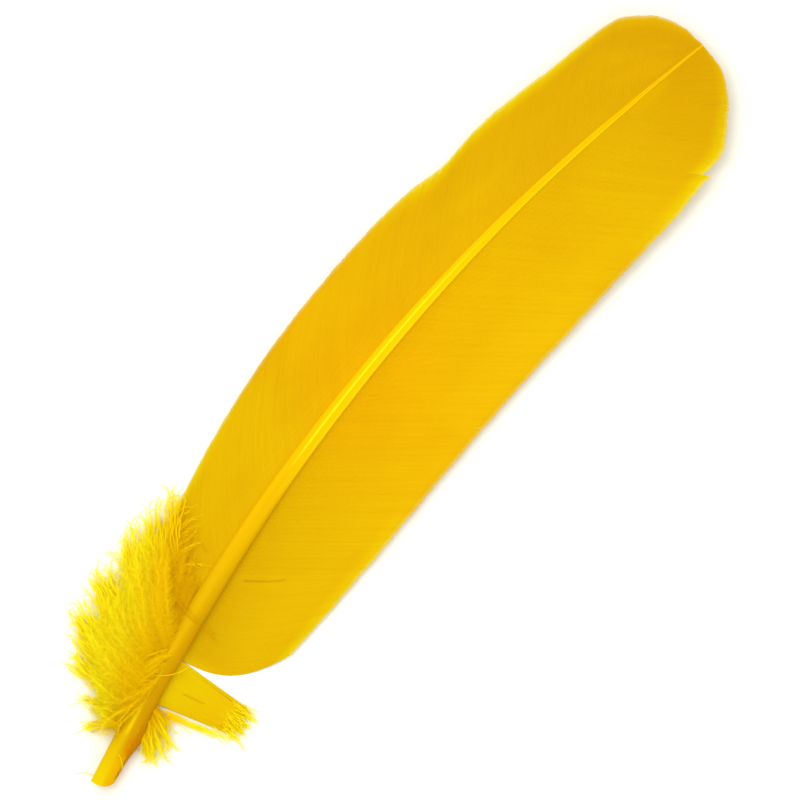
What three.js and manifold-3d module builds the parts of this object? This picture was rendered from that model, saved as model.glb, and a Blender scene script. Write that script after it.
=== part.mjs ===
// A yellow-dyed turkey wing quill, lying on its smooth side with the grooved side up.
// X runs from the cut end of the shaft to the tip, Y points to the narrow vane, Z is up.
// It is one solid: the shaft, the two vanes, the loose lobe and the locks of down are grown together.
import * as THREE from "three";
import { mergeVertices } from "three/addons/utils/BufferGeometryUtils.js";
import Module from "manifold-3d";

const wasm = await Module();
wasm.setup();

// Driving dimensions of the whole quill, in millimetres and degrees
const SHAFT_LENGTH = 295.8;
const START_TURN = 11.88;
const TOTAL_TURN = 26.5;
const EARLY_TURN = 0.69;
const TIP_LIFT = 8;
const TIP_LIFT_FROM = 0.56;
const BASE_LIFT = 1.2;
const BASE_LIFT_TO = 0.16;

// The origin, under the middle of the quill's box, measured from the cut end of the shaft
const ORIGIN_ALONG = 146.1;
const ORIGIN_ACROSS = 8.8;

// The shaft: a round tube at the base, then a four-sided, grooved stem that thins to the tip
const SHAFT_WIDTH = 6.8;
const SHAFT_TIP_WIDTH = 1.1;
const TAPER_FROM = 0.17;
const SHAFT_DEPTH_SHARE = 0.86;
const CUT_END_PINCH = 0.93;
const PINCH_OVER = 0.02;
const CUT_SLANT = 0.7;
const FLAT_BELOW = 0.8;
const SQUARENESS = 0.72;
const SQUARE_OVER = 0.3;
const GROOVE_FROM = 0.33;
const GROOVE_OVER = 0.08;
const GROOVE_DEPTH = 0.14;
const MIDDLE_OF_TOP = 0.99;
const SHAFT_SIDES = 16;
const SHAFT_RINGS = 42;

// The vanes: thin webs whose rows follow the barbs from the shaft to the edge
const VANE_ROWS = 48;
const VANE_COLUMNS = 7;
const WEB_AT_SHAFT = 0.5;
const WEB_AT_EDGE = 0.4;
const BARB_RIDGE = 0.22;
const ROOT_PAST_CENTRE = 0.12;
const ROOT_HEIGHT_SHARE = 0.3;
const REACHES_FLOOR = 9;
const BASE_BEND_SHARE = 0.12;
const TRAILING = {
  side: -1,
  rootStart: 45.4,
  rootEnd: 293.4,
  sweep: 0.05,
  baseBend: 3.4,
  bend: 1.15,
  leavesFloor: 17,
  riseRadius: 75,
  edge: [
    [64.5, 31.5],
    [80, 34],
    [111, 37.3],
    [155, 39.1],
    [203, 39.4],
    [234, 38],
    [256, 36.2],
    [270, 33.4],
    [279, 30.9],
    [284.5, 26.8],
    [290.8, 20.1],
    [294.6, 13.6],
    [296.3, 7.2],
    [295.9, 0.8],
  ],
};
const LEADING = {
  side: 1,
  rootStart: 49,
  rootEnd: 292.6,
  sweep: 0.04,
  baseBend: 1.6,
  bend: 1.5,
  leavesFloor: 12,
  riseRadius: 60,
  edge: [
    [84, 22.6],
    [108, 25.2],
    [142, 27.4],
    [188, 27.2],
    [202, 26.2],
    [213.5, 24.3],
    [229, 25.3],
    [256, 23.5],
    [280.6, 22.1],
    [286, 18.8],
    [291.5, 13.9],
    [294.3, 7.6],
    [295.6, 0.8],
  ],
};

// A snip in the edge of the wide vane near the tip
const SNIP = { along: 271.4, across: -34.5, width: 2.4, depth: 7, height: 8, turn: 62 };
const TRIANGLE_LENGTH = 1.5;
const TRIANGLE_WIDTH = Math.sqrt(3);

// The loose lobe at the bottom of the wide vane, and the locks that fray its end
const LOBE = {
  rootStart: 30,
  rootEnd: 45,
  tipStart: 34.3,
  tipEnd: 41.6,
  reach: 29.5,
  cornersBack: 1.5,
  rows: 6,
  columns: 6,
  web: 0.6,
};
const FRAY = {
  locks: 5,
  from: 24.2,
  reach: 33.5,
  inset: 1,
  spread: [-3, 0.5],
  rootUp: 0.6,
  tipUp: 1.6,
  crest: 1,
  width: 3,
  shorter: 0.08,
};

// The locks of down on the narrow side: three layers, whose tips follow one outline
const DOWN = {
  rootStart: 11,
  rootEnd: 48,
  tips: [
    [8.7, 14.8],
    [20, 19.8],
    [28.5, 26.6],
    [40, 32.6],
    [50, 35.8],
    [58, 35],
    [66.6, 31.4],
    [75, 31.6],
    [87.4, 26.7],
  ],
  layers: [
    { locks: 15, reach: 1, crest: 2.2, width: 9 },
    { locks: 12, reach: 0.88, crest: 5.2, width: 8 },
    { locks: 8, reach: 0.72, crest: 8.2, width: 7.5 },
  ],
};
const DOWN_ROOT_OUT = 2.04;
const DOWN_ROOT_UP = 2.86;
const DOWN_TIP_UP = 0.6;
const DOWN_SHORTER = 0.05;
const DOWN_WIDER = 0.15;

// One lock: how it leaves the shaft, and how its thickness swells between root and tip
const LOCK_DEPTH = 2;
const LOCK_AHEAD = 0.32;
const LOCK_OUT = 0.62;
const LOCK_ROOT = 0.45;
const LOCK_SWELL = 1.9;
const LOCK_SWELL_BACK = 0.76;
const LOCK_SIDES = 5;
const LOCK_RINGS = 3;

// The small tuft on the wide side, which points back to the cut end
const TUFT = {
  rootStart: 22,
  rootEnd: 29,
  tips: [
    [11.6, 11],
    [13.2, 13.8],
    [19.4, 15.4],
    [25, 12.8],
  ],
  layers: [{ locks: 6, reach: 1, crest: 2.4, width: 3.6 }],
};

const rad = THREE.MathUtils.degToRad;
const mix = THREE.MathUtils.lerp;
const clamp01 = (x) => THREE.MathUtils.clamp(x, 0, 1);

// How far the shaft's direction is turned from X at the share u of its length
const headingAt = (u) =>
  rad(START_TURN - TOTAL_TURN * (EARLY_TURN * u + (1 - EARLY_TURN) * u * u));

// Points along the shaft's centre line, from which every place on the quill is measured
const SPINE_STEPS = 240;
const spine = [new THREE.Vector2(0, 0)];
for (let i = 0; i < SPINE_STEPS; i += 1) {
  const heading = headingAt((i + 0.5) / SPINE_STEPS);
  const step = new THREE.Vector2(Math.cos(heading), Math.sin(heading));
  spine.push(spine[i].clone().addScaledVector(step, SHAFT_LENGTH / SPINE_STEPS));
}

// How far the quill has lifted off the floor, which it does at both of its ends
function liftAt(u) {
  const tip = clamp01((u - TIP_LIFT_FROM) / (1 - TIP_LIFT_FROM));
  const base = clamp01((BASE_LIFT_TO - u) / BASE_LIFT_TO);
  return TIP_LIFT * tip * tip + BASE_LIFT * base * base;
}

// A place on the quill: along the shaft, across it towards the narrow vane, and up from its lift
function place(along, across, up) {
  const u = clamp01(along / SHAFT_LENGTH);
  const step = Math.min(Math.floor(u * SPINE_STEPS), SPINE_STEPS - 1);
  const centre = spine[step].clone().lerp(spine[step + 1], u * SPINE_STEPS - step);
  const heading = headingAt(u);
  const past = along - u * SHAFT_LENGTH;
  return new THREE.Vector3(
    centre.x + past * Math.cos(heading) - across * Math.sin(heading) - ORIGIN_ALONG,
    centre.y + past * Math.sin(heading) + across * Math.cos(heading) - ORIGIN_ACROSS,
    liftAt(u) + up,
  );
}

// The width of the shaft at the share u of its length
function shaftWidthAt(u) {
  const taper = clamp01((u - TAPER_FROM) / (1 - TAPER_FROM));
  const pinch = mix(CUT_END_PINCH, 1, clamp01(u / PINCH_OVER));
  return mix(SHAFT_WIDTH, SHAFT_TIP_WIDTH, taper) * pinch;
}

const shaftDepthAt = (u) => shaftWidthAt(u) * SHAFT_DEPTH_SHARE;

// Moves every vertex of a geometry and joins the vertices that meet
function shaped(geometry, move) {
  const shape = geometry.clone();
  shape.deleteAttribute("normal");
  shape.deleteAttribute("uv");
  const points = shape.getAttribute("position");
  const at = new THREE.Vector3();
  for (let i = 0; i < points.count; i += 1) {
    move(at.fromBufferAttribute(points, i)).toArray(points.array, 3 * i);
  }
  return mergeVertices(shape, 1e-4);
}

// A closed geometry as a solid whose faces point out, whichever way the moves turned it
function solidOf(geometry) {
  const vertProperties = geometry.getAttribute("position").array;
  const triVerts = new Uint32Array(geometry.index.array);
  const made = () => new wasm.Manifold(new wasm.Mesh({ numProp: 3, vertProperties, triVerts }));
  const solid = made();
  if (solid.volume() > 0) {
    return solid;
  }
  for (let i = 0; i < triVerts.length; i += 3) {
    [triVerts[i + 1], triVerts[i + 2]] = [triVerts[i + 2], triVerts[i + 1]];
  }
  return made();
}

// The shaft, with a flat underside to lie on and a groove along the top of its outer part
function shaft() {
  const tube = new THREE.CylinderGeometry(1, 1, 1, SHAFT_SIDES, SHAFT_RINGS);
  return shaped(tube, ({ x, y, z }) => {
    const u = y + 0.5;
    const squareness = mix(1, SQUARENESS, clamp01((u - TAPER_FROM) / SQUARE_OVER));
    const round = (c) => Math.sign(c) * Math.abs(c) ** squareness;
    const half = shaftDepthAt(u) / 2;
    const grooved = z > MIDDLE_OF_TOP ? clamp01((u - GROOVE_FROM) / GROOVE_OVER) : 0;
    const dip = shaftDepthAt(u) * GROOVE_DEPTH * grooved;
    const up = Math.max(round(z) * half, -FLAT_BELOW * half) + FLAT_BELOW * half - dip;
    const slant = CUT_SLANT * round(x) * clamp01(1 - u * SHAFT_RINGS);
    return place(u * SHAFT_LENGTH - slant, (round(x) * shaftWidthAt(u)) / 2, up);
  });
}

// How high the underside of a vane lies: down from the shaft to the floor, then up to its edge
function webHeight({ leavesFloor, riseRadius }, along, out) {
  const u = clamp01(along / SHAFT_LENGTH);
  const fall = clamp01(Math.abs(out) / REACHES_FLOOR);
  const root = shaftDepthAt(u) * ROOT_HEIGHT_SHARE * (1 - fall) ** 2;
  const rise = Math.max(out - leavesFloor, 0);
  return root + (rise * rise) / (2 * riseRadius);
}

// A vane, whose rows run from the shaft outwards and forwards as its barbs do
function vane(shape) {
  const outline = new THREE.CatmullRomCurve3(
    shape.edge.map(([along, out]) => new THREE.Vector3(along, out, 0)),
    false,
    "centripetal",
  );
  const slab = new THREE.BoxGeometry(1, 1, 1, VANE_ROWS, VANE_COLUMNS, 1);
  return shaped(slab, ({ x, y, z }) => {
    const row = x + 0.5;
    const t = y + 0.5;
    const rootAlong = mix(shape.rootStart, shape.rootEnd, row);
    const tip = outline.getPointAt(clamp01(row + shape.sweep * Math.sin(Math.PI * row)));
    const bend = mix(shape.baseBend, shape.bend, clamp01(row / BASE_BEND_SHARE));
    const along = mix(rootAlong, tip.x, t ** bend);
    const past = ROOT_PAST_CENTRE * shaftWidthAt(rootAlong / SHAFT_LENGTH);
    const out = mix(-past, tip.y, t);
    const web = mix(WEB_AT_SHAFT, WEB_AT_EDGE, t);
    const ridge = Math.round(row * VANE_ROWS) % 2 ? BARB_RIDGE * Math.sin(Math.PI * t) : 0;
    const up = webHeight(shape, along, out) + (z > 0 ? web + ridge : 0);
    return place(along, shape.side * out, up);
  });
}

// The loose lobe, whose barbs stand out almost square to the shaft
function lobe() {
  const slab = new THREE.BoxGeometry(1, 1, 1, LOBE.rows, LOBE.columns, 1);
  return shaped(slab, ({ x, y, z }) => {
    const row = x + 0.5;
    const t = y + 0.5;
    const along = mix(
      mix(LOBE.rootStart, LOBE.rootEnd, row),
      mix(LOBE.tipStart, LOBE.tipEnd, row),
      t,
    );
    const out = t * (LOBE.reach - 2 * LOBE.cornersBack * Math.abs(row - 0.5));
    const up = webHeight(TRAILING, along, out) + (z > 0 ? LOBE.web : 0);
    return place(along, -out, up);
  });
}

// A tapered lock that arches from its root to its tip; places are [along, across, up]
function lock(root, tip, crest, width) {
  const path = new THREE.QuadraticBezierCurve3(
    new THREE.Vector3(...root),
    new THREE.Vector3(mix(root[0], tip[0], LOCK_AHEAD), mix(root[1], tip[1], LOCK_OUT), 2 * crest),
    new THREE.Vector3(...tip),
  );
  const cone = new THREE.ConeGeometry(1, 1, LOCK_SIDES, LOCK_RINGS);
  return shaped(cone, ({ x, y, z }) => {
    const t = y + 0.5;
    const at = path.getPoint(t);
    const ahead = path.getTangent(t);
    const belly = LOCK_ROOT + LOCK_SWELL * t - LOCK_SWELL_BACK * t * t;
    const wide = (x * width * belly) / 2;
    const flat = Math.hypot(ahead.x, ahead.y);
    return place(
      at.x - (wide * ahead.y) / flat,
      at.y + (wide * ahead.x) / flat,
      at.z + (z * LOCK_DEPTH * belly) / 2,
    );
  });
}

// A repeatable number between -1 and 1 that varies from lock to lock
const waver = (seed) => Math.sin(seed * 12.9898) * Math.cos(seed * 4.1414);

// Layers of down on one side of the shaft, whose tips follow the outline of the tuft
function down({ rootStart, rootEnd, tips, layers }, side) {
  const outline = new THREE.CatmullRomCurve3(
    tips.map(([along, out]) => new THREE.Vector3(along, out, 0)),
    false,
    "centripetal",
  );
  return layers.flatMap(({ locks, reach, crest, width }, layer) =>
    Array.from({ length: locks }, (_, i) => {
      const share = i / (locks - 1);
      const seed = i + 17 * layer;
      const rootAlong = mix(rootStart, rootEnd, share);
      const far = outline.getPointAt(share);
      const length = reach * (1 - DOWN_SHORTER * (1 + waver(seed)) * (i % 2));
      const root = [rootAlong, side * DOWN_ROOT_OUT, DOWN_ROOT_UP];
      const tipAlong = mix(rootAlong, far.x, length);
      const tipOut = mix(DOWN_ROOT_OUT, far.y, length);
      const tip = [tipAlong, side * tipOut, DOWN_TIP_UP + crest / 2];
      return lock(root, tip, crest, width * (1 + DOWN_WIDER * waver(seed + layers.length)));
    }),
  );
}

// The frayed end of the loose lobe
function fray() {
  return Array.from({ length: FRAY.locks }, (_, i) => {
    const share = i / (FRAY.locks - 1);
    const along = mix(LOBE.tipStart + FRAY.inset, LOBE.tipEnd - FRAY.inset, share);
    const reach = FRAY.reach * (1 - FRAY.shorter * Math.abs(waver(i + FRAY.width)));
    const root = [along, -FRAY.from, FRAY.rootUp];
    const tip = [along + mix(...FRAY.spread, share), -reach, FRAY.tipUp];
    return lock(root, tip, FRAY.crest, FRAY.width);
  });
}

// The snip: a wedge that is cut from the edge of the wide vane
function snip() {
  const wedge = new THREE.CylinderGeometry(1, 1, SNIP.height, 3);
  return shaped(wedge, ({ x, y, z }) => {
    const turn = rad(SNIP.turn);
    const ahead = (z * SNIP.depth) / TRIANGLE_LENGTH;
    const aside = (x * SNIP.width) / TRIANGLE_WIDTH;
    return place(
      SNIP.along + ahead * Math.cos(turn) - aside * Math.sin(turn),
      SNIP.across + ahead * Math.sin(turn) + aside * Math.cos(turn),
      y,
    );
  });
}

const grown = [
  shaft(),
  vane(TRAILING),
  vane(LEADING),
  lobe(),
  ...fray(),
  ...down(DOWN, 1),
  ...down(TUFT, -1),
];
const whole = grown
  .map(solidOf)
  .reduce((all, one) => all.add(one))
  .subtract(solidOf(snip()));

const mesh = whole.getMesh();
const geometry = new THREE.BufferGeometry();
geometry.setAttribute("position", new THREE.BufferAttribute(mesh.vertProperties, 3));
geometry.setIndex(new THREE.BufferAttribute(mesh.triVerts, 1));
geometry.computeVertexNormals();

const yellowFeather = new THREE.MeshStandardMaterial({
  color: 0xefbd00,
  roughness: 0.6,
  metalness: 0,
  flatShading: true,
});
const quill = new THREE.Mesh(geometry, yellowFeather);
quill.name = "wing_quill";

const feather = new THREE.Group();
feather.add(quill);
export default feather;
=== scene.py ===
# %% [markdown]
# # A dyed wing quill on a white table
# One yellow feather lies with the grooved side of its shaft up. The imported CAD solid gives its
# size and its place. Here the solid is covered by what a feather really consists of: a horn
# shaft, two vanes of single barbs, a loose lobe, and down. Lengths are worked out in
# millimetres, as a maker would measure them, and turned into metres at the very end.

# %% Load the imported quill
import math
import bpy
import numpy as np
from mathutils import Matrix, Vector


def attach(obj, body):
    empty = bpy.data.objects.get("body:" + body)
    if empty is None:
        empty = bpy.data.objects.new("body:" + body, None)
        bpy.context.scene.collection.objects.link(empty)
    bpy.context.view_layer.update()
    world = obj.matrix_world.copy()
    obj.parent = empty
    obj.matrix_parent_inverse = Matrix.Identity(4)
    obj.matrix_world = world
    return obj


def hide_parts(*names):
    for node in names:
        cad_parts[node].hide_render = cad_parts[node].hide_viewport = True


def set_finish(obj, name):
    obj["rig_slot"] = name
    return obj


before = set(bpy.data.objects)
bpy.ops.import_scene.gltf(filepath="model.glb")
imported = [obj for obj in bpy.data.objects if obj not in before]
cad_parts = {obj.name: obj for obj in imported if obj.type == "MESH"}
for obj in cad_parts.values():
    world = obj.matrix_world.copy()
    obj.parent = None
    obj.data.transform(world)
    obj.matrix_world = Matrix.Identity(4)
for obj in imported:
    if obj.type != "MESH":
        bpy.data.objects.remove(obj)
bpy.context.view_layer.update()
MM = 0.001

# %% [markdown]
# ## The shaft's curve
# A quill isn't straight. All of its parts follow the shaft, so every place is given by how far
# it is along the shaft, how far across it towards the narrow vane, and how high it is. One
# function turns those three into a place on the table. It repeats the CAD model's own formula,
# so each piece lands on its solid with no fitting.

# %% The curve and the place function
SHAFT_LENGTH = 295.8
START_TURN, TOTAL_TURN, EARLY_TURN = 11.88, 26.5, 0.69
TIP_LIFT, TIP_LIFT_FROM = 8, 0.56
BASE_LIFT, BASE_LIFT_TO = 1.2, 0.16
ORIGIN_ALONG, ORIGIN_ACROSS = 146.1, 8.8
SPINE_STEPS = 240


def heading(share):
    """How far the shaft's direction is turned from X."""
    return np.radians(START_TURN - TOTAL_TURN * (EARLY_TURN * share + (1 - EARLY_TURN) * share**2))


def lift(share):
    """How far the quill has risen off the table, which it does at both ends."""
    tip = np.clip((share - TIP_LIFT_FROM) / (1 - TIP_LIFT_FROM), 0, 1)
    base = np.clip((BASE_LIFT_TO - share) / BASE_LIFT_TO, 0, 1)
    return TIP_LIFT * tip**2 + BASE_LIFT * base**2


middles = heading((np.arange(SPINE_STEPS) + 0.5) / SPINE_STEPS)
step = SHAFT_LENGTH / SPINE_STEPS
spine_x = np.concatenate([[0], np.cumsum(np.cos(middles))]) * step
spine_y = np.concatenate([[0], np.cumsum(np.sin(middles))]) * step


def place(along, across, up):
    """Places on the quill, in metres in the CAD frame."""
    share = np.clip(along / SHAFT_LENGTH, 0, 1)
    past = along - share * SHAFT_LENGTH
    turn = heading(share)
    steps = np.arange(SPINE_STEPS + 1)
    x = np.interp(share * SPINE_STEPS, steps, spine_x)
    y = np.interp(share * SPINE_STEPS, steps, spine_y)
    x = x + past * np.cos(turn) - across * np.sin(turn)
    y = y + past * np.sin(turn) + across * np.cos(turn)
    return np.stack([x - ORIGIN_ALONG, y - ORIGIN_ACROSS, lift(share) + up], -1) * MM


print("tip of the shaft in mm", (place(SHAFT_LENGTH, 0, 0) / MM).round(1))

# %% [markdown]
# ## The camera
# The photograph looks straight down, with the quill running from the lower left to the upper
# right. The camera comes first, because it says how large a barb is in the picture. A long lens
# keeps the view nearly free of perspective, as a product photograph from above is.

# %% Camera over the table
PICTURE = 800
MM_PER_PIXEL = 0.30874
QUILL_TURN = math.radians(50.85)
CUT_END_PIXEL = (101.3, 783.6)
LENS, SENSOR = 200, 36


def on_table(px, py):
    """The place on the table, in mm, that a pixel of the photograph shows."""
    right = (px - CUT_END_PIXEL[0]) * MM_PER_PIXEL
    up = (CUT_END_PIXEL[1] - py) * MM_PER_PIXEL
    x = right * math.cos(QUILL_TURN) + up * math.sin(QUILL_TURN)
    y = up * math.cos(QUILL_TURN) - right * math.sin(QUILL_TURN)
    return x - ORIGIN_ALONG, y - ORIGIN_ACROSS


bpy.ops.object.select_all(action="DESELECT")
centre = on_table(PICTURE / 2, PICTURE / 2)
distance = PICTURE * MM_PER_PIXEL * LENS / SENSOR
bpy.ops.object.camera_add(
    location=(centre[0] * MM, centre[1] * MM, distance * MM), rotation=(0, 0, -QUILL_TURN)
)
camera = bpy.context.object
camera.name = "camera"
camera.data.lens = LENS
camera.data.sensor_width = SENSOR
bpy.context.scene.camera = camera
bpy.context.scene.view_settings.view_transform = "Standard"
print("camera height in mm", round(distance))

# %% [markdown]
# ## Tools for the bench
# A piece starts as a primitive, is shaped in edit mode, and is repeated with an Array modifier.
# It is made straight, in simple units, and only then laid along the shaft by moving its corners.
# Faces and edges are picked in code, by where they are.

# %% Selecting and shaping
def edit(piece, faces=None, edges=None, points=None):
    """Goes into edit mode on a piece with only the picked faces, edges or corners selected."""
    mode = "FACE" if faces else "EDGE" if edges else "VERT"
    bpy.ops.object.mode_set(mode="EDIT")
    bpy.ops.mesh.select_mode(type=mode)
    bpy.ops.mesh.select_all(action="DESELECT")
    bpy.ops.object.mode_set(mode="OBJECT")
    mesh = piece.data
    for face in mesh.polygons if faces else []:
        face.select = bool(faces(face))
    for edge in mesh.edges if edges else []:
        ends = [mesh.vertices[i].co for i in edge.vertices]
        edge.select = bool(edges(*ends))
    for point in mesh.vertices if points else []:
        point.select = bool(points(point.co))
    bpy.ops.object.mode_set(mode="EDIT")


def primitive(add, name, **settings):
    """Adds a primitive with nothing else selected and puts its place into its mesh."""
    bpy.ops.object.select_all(action="DESELECT")
    add(**settings)
    piece = bpy.context.object
    piece.name = piece.data.name = name
    bpy.ops.object.transform_apply(location=True, rotation=True, scale=True)
    return piece


def repeat(piece, count, offset):
    """Repeats a piece in a row and applies the array."""
    bpy.ops.object.select_all(action="DESELECT")
    bpy.context.view_layer.objects.active = piece
    piece.select_set(True)
    row = piece.modifiers.new("row", "ARRAY")
    row.count = count
    row.use_relative_offset = False
    row.use_constant_offset = True
    row.constant_offset_displace = offset
    bpy.ops.object.modifier_apply(modifier=row.name)
    return piece


def copy_of(piece, name):
    """A copy with its own mesh."""
    twin = piece.copy()
    twin.data = piece.data.copy()
    twin.name = twin.data.name = name
    bpy.context.scene.collection.objects.link(twin)
    return twin


def which_copy(row, piece):
    """For each corner of an array, the number of the copy that it belongs to."""
    return np.arange(len(row.data.vertices)) // len(piece.data.vertices)


def joined(pieces):
    """Joins pieces into the first one."""
    bpy.ops.object.select_all(action="DESELECT")
    for piece in pieces:
        piece.select_set(True)
    bpy.context.view_layer.objects.active = pieces[0]
    bpy.ops.object.join()
    return pieces[0]


def corners(piece):
    """The corners of a mesh as an array."""
    flat = np.empty(len(piece.data.vertices) * 3)
    piece.data.vertices.foreach_get("co", flat)
    return flat.reshape(-1, 3)


def move_corners(piece, places):
    """Moves every corner of a mesh."""
    piece.data.vertices.foreach_set("co", np.ascontiguousarray(places, float).ravel())
    piece.data.update()


def note(piece, name, values):
    """Writes one number per corner, which the materials can read."""
    layer = piece.data.attributes.new(name, "FLOAT", "POINT")
    layer.data.foreach_set("value", np.asarray(values, np.float32))


def mix(a, b, share):
    """The value at a share of the way from a to b."""
    return a + (b - a) * share


def smooth(low, high, x):
    """Rises smoothly from 0 at low to 1 at high."""
    t = np.clip((x - low) / (high - low), 0, 1)
    return t * t * (3 - 2 * t)


CURVE_SAMPLES, SPAN_SAMPLES = 600, 40


def curve_through(points):
    """Evenly spaced places on a smooth curve through some points, as the CAD outline has."""
    p = np.array(points, float)
    p = np.vstack([2 * p[0] - p[1], p, 2 * p[-1] - p[-2]])
    spans = []
    for a, b, c, d in zip(p[:-3], p[1:-2], p[2:-1], p[3:]):
        before, here, after = (np.sqrt(np.linalg.norm(q)) for q in (b - a, c - b, d - c))
        leave = ((b - a) / before - (c - a) / (before + here) + (c - b) / here) * here
        arrive = ((c - b) / here - (d - b) / (here + after) + (d - c) / after) * here
        t = np.linspace(0, 1, SPAN_SAMPLES, endpoint=False)[:, None]
        turn = 2 * b - 2 * c + leave + arrive
        spans.append(b + leave * t + (3 * c - 3 * b - 2 * leave - arrive) * t**2 + turn * t**3)
    fine = np.vstack([*spans, p[-2]])
    run = np.concatenate([[0], np.cumsum(np.linalg.norm(np.diff(fine, axis=0), axis=1))])
    even = np.linspace(0, run[-1], CURVE_SAMPLES)
    return np.stack([np.interp(even, run, fine[:, i]) for i in range(fine.shape[1])], -1)


def on_curve(curve, share):
    """The places at these shares of a curve's length."""
    at = np.clip(share, 0, 1) * (len(curve) - 1)
    return [np.interp(at, np.arange(len(curve)), curve[:, i]) for i in range(curve.shape[1])]


WAVES = 5


def drift(x, seed, slowest):
    """A smooth wander around 0 along x, the same each time."""
    dice = np.random.default_rng(seed)
    total = 0
    for wave in range(WAVES):
        total = total + np.sin(x * slowest * 1.9**wave + dice.uniform(0, 6.3)) / 1.5**wave
    return total / 2.5


pieces = []


def finish_piece(piece, slot):
    """Fixes a piece to the quill and counts its triangles."""
    bpy.ops.object.select_all(action="DESELECT")
    piece.select_set(True)
    bpy.context.view_layer.objects.active = piece
    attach(piece, "root")
    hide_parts("wing_quill")
    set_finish(piece, slot)
    pieces.append(piece)
    triangles = sum(len(face.vertices) - 2 for face in piece.data.polygons)
    low, high = corners(piece).min(0) / MM, corners(piece).max(0) / MM
    print(piece.name, triangles, "triangles", low.round(1), high.round(1))


# %% [markdown]
# ## The shaft
# The shaft is one horn stem. Its bare base is a round, hollow tube, and further on it is
# squarish, filled with pith and grooved along the side that faces up here. A long cylinder with
# many rings is a good start: its rings are scaled to the measured widths, its section is made
# squarer, and the groove is pressed into its top. On the wide vane's side it swells a little
# near the base, and it is cut off at a slant. The cut end is inset and pushed in, so that the
# tube is open there.

# %% A long cylinder with an open end
SHAFT_SIDES, SHAFT_CUTS = 48, 190
OPENING = [(0.2, 0), (0.04, -0.004), (0.1, -0.008)]
tube = primitive(
    bpy.ops.mesh.primitive_cylinder_add, "shaft",
    vertices=SHAFT_SIDES, radius=1, depth=1, location=(0.5, 0, 0), rotation=(0, math.pi / 2, 0),
)
edit(tube, edges=lambda a, b: abs(a.x - b.x) > 0.5)
bpy.ops.mesh.subdivide(number_cuts=SHAFT_CUTS)
bpy.ops.object.mode_set(mode="OBJECT")
edit(tube, faces=lambda face: face.normal.x < -0.9)
for thickness, depth in OPENING:
    bpy.ops.mesh.inset(thickness=thickness, depth=depth)
bpy.ops.object.mode_set(mode="OBJECT")
print("straight shaft", len(tube.data.polygons), "faces")

# %% Its widths, its groove and its curve
WIDTHS = [
    (0, 6.7), (4, 6.9), (20, 6.95), (46, 6.85), (60, 6.7), (77, 6.2), (93, 5.7), (108, 5.2),
    (124, 4.8), (147, 4.35), (170, 4.1), (185, 3.7), (201, 3.35), (216, 2.9), (232, 2.45),
    (247, 2.1), (262, 1.6), (278, 1.05), (290, 0.8), (296, 0.65),
]
SHIFTS = [
    (0, -0.2), (30, -0.15), (60, 0), (90, 0.1), (110, 0.15), (125, 0.1), (150, -0.1),
    (180, -0.3), (210, -0.55), (240, -0.75), (265, -0.8), (285, -0.4), (296, 0),
]
SWELLING = {"at": 18, "half": 6, "out": 1.5}
DEPTH_SHARE = 0.86
FLAT_BELOW = 0.8
SQUARENESS, SQUARE_FROM, SQUARE_TO = 0.74, 50, 130
CUT_OVER = 5
SHAFT_OFF_TABLE = 0.02
GROOVE = {"from": 82, "to": 112, "depth": 0.17, "half": 0.21, "aside": -0.1}


def table(pairs, x):
    """Reads a value between the rows of a short table."""
    return np.interp(x, *np.transpose(pairs))


def shaft_depth(along):
    """How deep the shaft is, which is a share of its width."""
    return table(WIDTHS, along) * DEPTH_SHARE


p = corners(tube)
along, side, top = p[:, 0] * SHAFT_LENGTH, p[:, 1], p[:, 2]
squareness = mix(1, SQUARENESS, smooth(SQUARE_FROM, SQUARE_TO, along))
side, top = (np.sign(c) * np.abs(c) ** squareness for c in (side, top))
half_width, half_depth = table(WIDTHS, along) / 2, shaft_depth(along) / 2
grooved = smooth(GROOVE["from"], GROOVE["to"], along) * (top > 0)
dip = GROOVE["depth"] * np.exp(-(((side - GROOVE["aside"]) / GROOVE["half"]) ** 2)) * grooved
crown = np.maximum(top, -FLAT_BELOW) + FLAT_BELOW - dip
uneven = 0.03 * drift(along * 0.09 + side, 3, 1.0)
slant = 1.3 * np.clip(0.3 - side, 0, 2) ** 2 + 3.5 * np.clip(-side - 0.7, 0, 1) ** 1.5 - 0.3
slant = slant * (1 - smooth(0, CUT_OVER, along))
swell_along = np.exp(-(((along - SWELLING["at"]) / SWELLING["half"]) ** 2))
swell = SWELLING["out"] * swell_along * np.clip(-side - 0.3, 0, 1) / 0.7
note(tube, "along", along / SHAFT_LENGTH)
note(tube, "side", side)
across = half_width * side + table(SHIFTS, along) + uneven - swell
move_corners(tube, place(along + slant, across, crown * half_depth + SHAFT_OFF_TABLE))
bpy.ops.object.select_all(action="DESELECT")
tube.select_set(True)
bpy.context.view_layer.objects.active = tube
bpy.ops.object.shade_smooth_by_angle(angle=math.radians(50))
finish_piece(tube, "shaft")

# %% [markdown]
# ## The vanes
# Each vane is hundreds of barbs that lie side by side, hooked together by barbules too small to
# see from a step away. One barb is modelled as a slim bar with a narrow ridge and an end that
# is thinner than its root. An array lays them in a row like a comb, and the comb is bent so
# that every barb leaves the shaft at its own slant and ends on the outline of the vane.

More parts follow.
